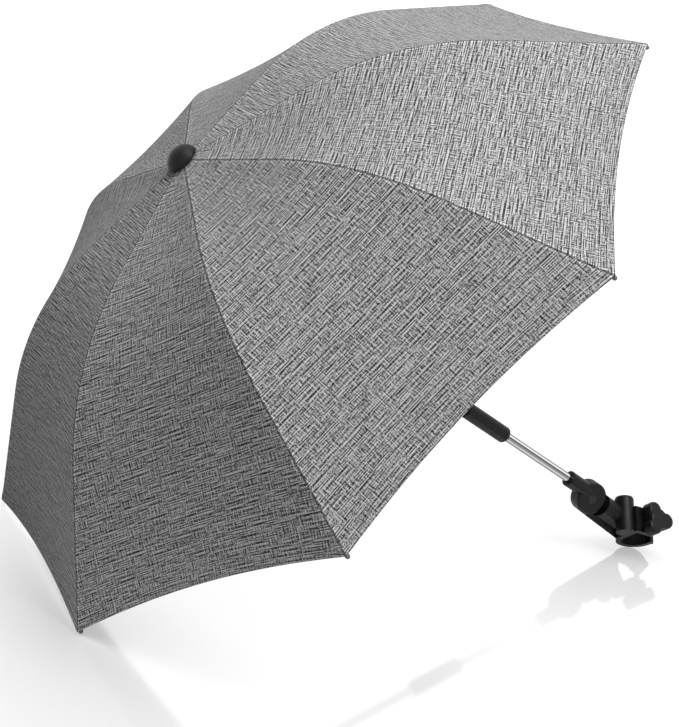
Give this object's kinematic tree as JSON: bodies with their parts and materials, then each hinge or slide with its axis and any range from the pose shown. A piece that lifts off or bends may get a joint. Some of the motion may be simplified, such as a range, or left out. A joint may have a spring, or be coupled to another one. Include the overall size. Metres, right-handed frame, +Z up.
{
  "type": "pram parasol",
  "caption": "Pram parasol with a folding panelled cloth canopy on a tilting chrome shaft with a lock sleeve and a swivelling screw clamp for a pram tube.",
  "frame": {"origin": "centre of the clamp's seat, on the axis of the pram tube that it grips", "axes": "+X from the canopy towards the clamp, +Y across the shaft along the axis of the swivel, +Z up from the floor that the parasol lies on"},
  "size_m": [0.6408, 0.6468, 0.5034],
  "materials": {
    "canopy_cloth": "grey linen-look weave",
    "frame_steel": "plated wire",
    "tip_plastic": "matte grey",
    "chrome_tube": "polished",
    "black_plastic": "satin gloss",
    "black_steel": "blackened",
    "liner_rubber": "matte"
  },
  "bodies": {
    "clamp_body": {"clamp_frame": "black_plastic", "seat_liner": "liner_rubber", "swivel_bolt": "black_steel", "swivel_nut": "black_steel"},
    "jaw_body": {"moving_jaw": "black_plastic"},
    "knob_body": {"clamp_screw": "black_steel", "knob": "black_plastic"},
    "lower_shaft": {"holder": "black_plastic", "lower_tube": "chrome_tube", "lower_knuckle": "black_plastic", "tilt_pin": "frame_steel"},
    "sleeve_body": {"lock_sleeve": "black_plastic"},
    "upper_shaft": {"ferrule_cap": "black_plastic", "crown": "black_plastic", "crown_ring": "frame_steel", "upper_tube": "chrome_tube", "upper_knuckle": "black_plastic"},
    "runner_body": {"runner": "black_plastic"},
    "rib_body_1": {"rib_1": "frame_steel", "rib_tip_1": "tip_plastic", "stretcher_pin_1": "frame_steel", "canopy_gore_1": "canopy_cloth"},
    "stretcher_body_1": {"stretcher_1": "frame_steel"},
    "rib_body_2": {"rib_2": "frame_steel", "rib_tip_2": "tip_plastic", "stretcher_pin_2": "frame_steel", "canopy_gore_2": "canopy_cloth"},
    "stretcher_body_2": {"stretcher_2": "frame_steel"},
    "rib_body_3": {"rib_3": "frame_steel", "rib_tip_3": "tip_plastic", "stretcher_pin_3": "frame_steel", "canopy_gore_3": "canopy_cloth"},
    "stretcher_body_3": {"stretcher_3": "frame_steel"},
    "rib_body_4": {"rib_4": "frame_steel", "rib_tip_4": "tip_plastic", "stretcher_pin_4": "frame_steel", "canopy_gore_4": "canopy_cloth"},
    "stretcher_body_4": {"stretcher_4": "frame_steel"},
    "rib_body_5": {"rib_5": "frame_steel", "rib_tip_5": "tip_plastic", "stretcher_pin_5": "frame_steel", "canopy_gore_5": "canopy_cloth"},
    "stretcher_body_5": {"stretcher_5": "frame_steel"},
    "rib_body_6": {"rib_6": "frame_steel", "rib_tip_6": "tip_plastic", "stretcher_pin_6": "frame_steel", "canopy_gore_6": "canopy_cloth"},
    "stretcher_body_6": {"stretcher_6": "frame_steel"},
    "rib_body_7": {"rib_7": "frame_steel", "rib_tip_7": "tip_plastic", "stretcher_pin_7": "frame_steel", "canopy_gore_7": "canopy_cloth"},
    "stretcher_body_7": {"stretcher_7": "frame_steel"},
    "rib_body_8": {"rib_8": "frame_steel", "rib_tip_8": "tip_plastic", "stretcher_pin_8": "frame_steel", "canopy_gore_8": "canopy_cloth"},
    "stretcher_body_8": {"stretcher_8": "frame_steel"}
  },
  "joints": [
    {"name": "swivel", "type": "hinge", "parent": "clamp_body", "child": "lower_shaft", "pos_m": [-0.063, 0, 0.0346], "axis": [0, 1, 0], "range_deg": [0, 95]},
    {"name": "tilt", "type": "hinge", "parent": "lower_shaft", "child": "upper_shaft", "pos_m": [-0.36857, 0, 0.20117], "axis": [0, 1, 0], "range_deg": [-11.2, 48]},
    {"name": "sleeve_slide", "type": "slide", "parent": "lower_shaft", "child": "sleeve_body", "axis": [-0.8835, 0, 0.4685], "range_m": [0, 0.15]},
    {"name": "runner_slide", "type": "slide", "parent": "upper_shaft", "child": "runner_body", "axis": [0.7756, 0, -0.6312], "range_m": [0, 0.13946], "deforming": ["canopy_gore_1", "canopy_gore_2", "canopy_gore_3", "canopy_gore_4", "canopy_gore_5", "canopy_gore_6", "canopy_gore_7", "canopy_gore_8"]},
    {"name": "jaw_slide", "type": "slide", "parent": "clamp_body", "child": "jaw_body", "axis": [0.1555, -0.766, 0.6237], "range_m": [-0.0027, 0.0027]},
    {"name": "knob_turn", "type": "hinge", "parent": "jaw_body", "child": "knob_body", "pos_m": [0, 0, 0], "axis": [0.1555, -0.766, 0.6237], "range_deg": [-489, 489]},
    {"name": "rib_fold_1", "type": "hinge", "parent": "upper_shaft", "child": "rib_body_1", "pos_m": [-0.53017, -0.00383, 0.32076], "axis": [0.2415, -0.9239, 0.2968], "range_deg": [-0.05, 60.5]},
    {"name": "stretcher_fold_1", "type": "hinge", "parent": "rib_body_1", "child": "stretcher_body_1", "pos_m": [-0.57046, -0.0378, 0.2478], "axis": [0.2415, -0.9239, 0.2968], "range_deg": [-121.01, 0.1]},
    {"name": "rib_fold_2", "type": "hinge", "parent": "upper_shaft", "child": "rib_body_2", "pos_m": [-0.52675, -0.00924, 0.32496], "axis": [0.5831, -0.3827, 0.7166], "range_deg": [-0.05, 60.5]},
    {"name": "stretcher_fold_2", "type": "hinge", "parent": "rib_body_2", "child": "stretcher_body_2", "pos_m": [-0.53671, -0.09126, 0.28927], "axis": [0.5831, -0.3827, 0.7166], "range_deg": [-121.01, 0.1]},
    {"name": "rib_fold_3", "type": "hinge", "parent": "upper_shaft", "child": "rib_body_3", "pos_m": [-0.52192, -0.00924, 0.3309], "axis": [0.5831, 0.3827, 0.7166], "range_deg": [-0.05, 60.5]},
    {"name": "stretcher_fold_3", "type": "hinge", "parent": "rib_body_3", "child": "stretcher_body_3", "pos_m": [-0.489, -0.09126, 0.3479], "axis": [0.5831, 0.3827, 0.7166], "range_deg": [-121.01, 0.1]},
    {"name": "rib_fold_4", "type": "hinge", "parent": "upper_shaft", "child": "rib_body_4", "pos_m": [-0.5185, -0.00383, 0.33509], "axis": [0.2415, 0.9239, 0.2968], "range_deg": [-0.05, 60.5]},
    {"name": "stretcher_fold_4", "type": "hinge", "parent": "rib_body_4", "child": "stretcher_body_4", "pos_m": [-0.45526, -0.0378, 0.38937], "axis": [0.2415, 0.9239, 0.2968], "range_deg": [-121.01, 0.1]},
    {"name": "rib_fold_5", "type": "hinge", "parent": "upper_shaft", "child": "rib_body_5", "pos_m": [-0.5185, 0.00383, 0.33509], "axis": [-0.2415, 0.9239, -0.2968], "range_deg": [-0.05, 60.5]},
    {"name": "stretcher_fold_5", "type": "hinge", "parent": "rib_body_5", "child": "stretcher_body_5", "pos_m": [-0.45526, 0.0378, 0.38937], "axis": [-0.2415, 0.9239, -0.2968], "range_deg": [-121.01, 0.1]},
    {"name": "rib_fold_6", "type": "hinge", "parent": "upper_shaft", "child": "rib_body_6", "pos_m": [-0.52192, 0.00924, 0.3309], "axis": [-0.5831, 0.3827, -0.7166], "range_deg": [-0.05, 60.5]},
    {"name": "stretcher_fold_6", "type": "hinge", "parent": "rib_body_6", "child": "stretcher_body_6", "pos_m": [-0.489, 0.09126, 0.3479], "axis": [-0.5831, 0.3827, -0.7166], "range_deg": [-121.01, 0.1]},
    {"name": "rib_fold_7", "type": "hinge", "parent": "upper_shaft", "child": "rib_body_7", "pos_m": [-0.52675, 0.00924, 0.32496], "axis": [-0.5831, -0.3827, -0.7166], "range_deg": [-0.05, 60.5]},
    {"name": "stretcher_fold_7", "type": "hinge", "parent": "rib_body_7", "child": "stretcher_body_7", "pos_m": [-0.53671, 0.09126, 0.28927], "axis": [-0.5831, -0.3827, -0.7166], "range_deg": [-121.01, 0.1]},
    {"name": "rib_fold_8", "type": "hinge", "parent": "upper_shaft", "child": "rib_body_8", "pos_m": [-0.53017, 0.00383, 0.32076], "axis": [-0.2415, -0.9239, -0.2968], "range_deg": [-0.05, 60.5]},
    {"name": "stretcher_fold_8", "type": "hinge", "parent": "rib_body_8", "child": "stretcher_body_8", "pos_m": [-0.57046, 0.0378, 0.2478], "axis": [-0.2415, -0.9239, -0.2968], "range_deg": [-121.01, 0.1]}
  ],
  "couplings": [
    {"joint": "knob_turn", "follows": "jaw_slide", "rad_per_m": 3141.6},
    {"joint": "rib_fold_1", "follows": "runner_slide", "rad_per_m": 7.5661},
    {"joint": "stretcher_fold_1", "follows": "runner_slide", "rad_per_m": -15.132},
    {"joint": "rib_fold_2", "follows": "runner_slide", "rad_per_m": 7.5661},
    {"joint": "stretcher_fold_2", "follows": "runner_slide", "rad_per_m": -15.132},
    {"joint": "rib_fold_3", "follows": "runner_slide", "rad_per_m": 7.5661},
    {"joint": "stretcher_fold_3", "follows": "runner_slide", "rad_per_m": -15.132},
    {"joint": "rib_fold_4", "follows": "runner_slide", "rad_per_m": 7.5661},
    {"joint": "stretcher_fold_4", "follows": "runner_slide", "rad_per_m": -15.132},
    {"joint": "rib_fold_5", "follows": "runner_slide", "rad_per_m": 7.5661},
    {"joint": "stretcher_fold_5", "follows": "runner_slide", "rad_per_m": -15.132},
    {"joint": "rib_fold_6", "follows": "runner_slide", "rad_per_m": 7.5661},
    {"joint": "stretcher_fold_6", "follows": "runner_slide", "rad_per_m": -15.132},
    {"joint": "rib_fold_7", "follows": "runner_slide", "rad_per_m": 7.5661},
    {"joint": "stretcher_fold_7", "follows": "runner_slide", "rad_per_m": -15.132},
    {"joint": "rib_fold_8", "follows": "runner_slide", "rad_per_m": 7.5661},
    {"joint": "stretcher_fold_8", "follows": "runner_slide", "rad_per_m": -15.132}
  ]
}
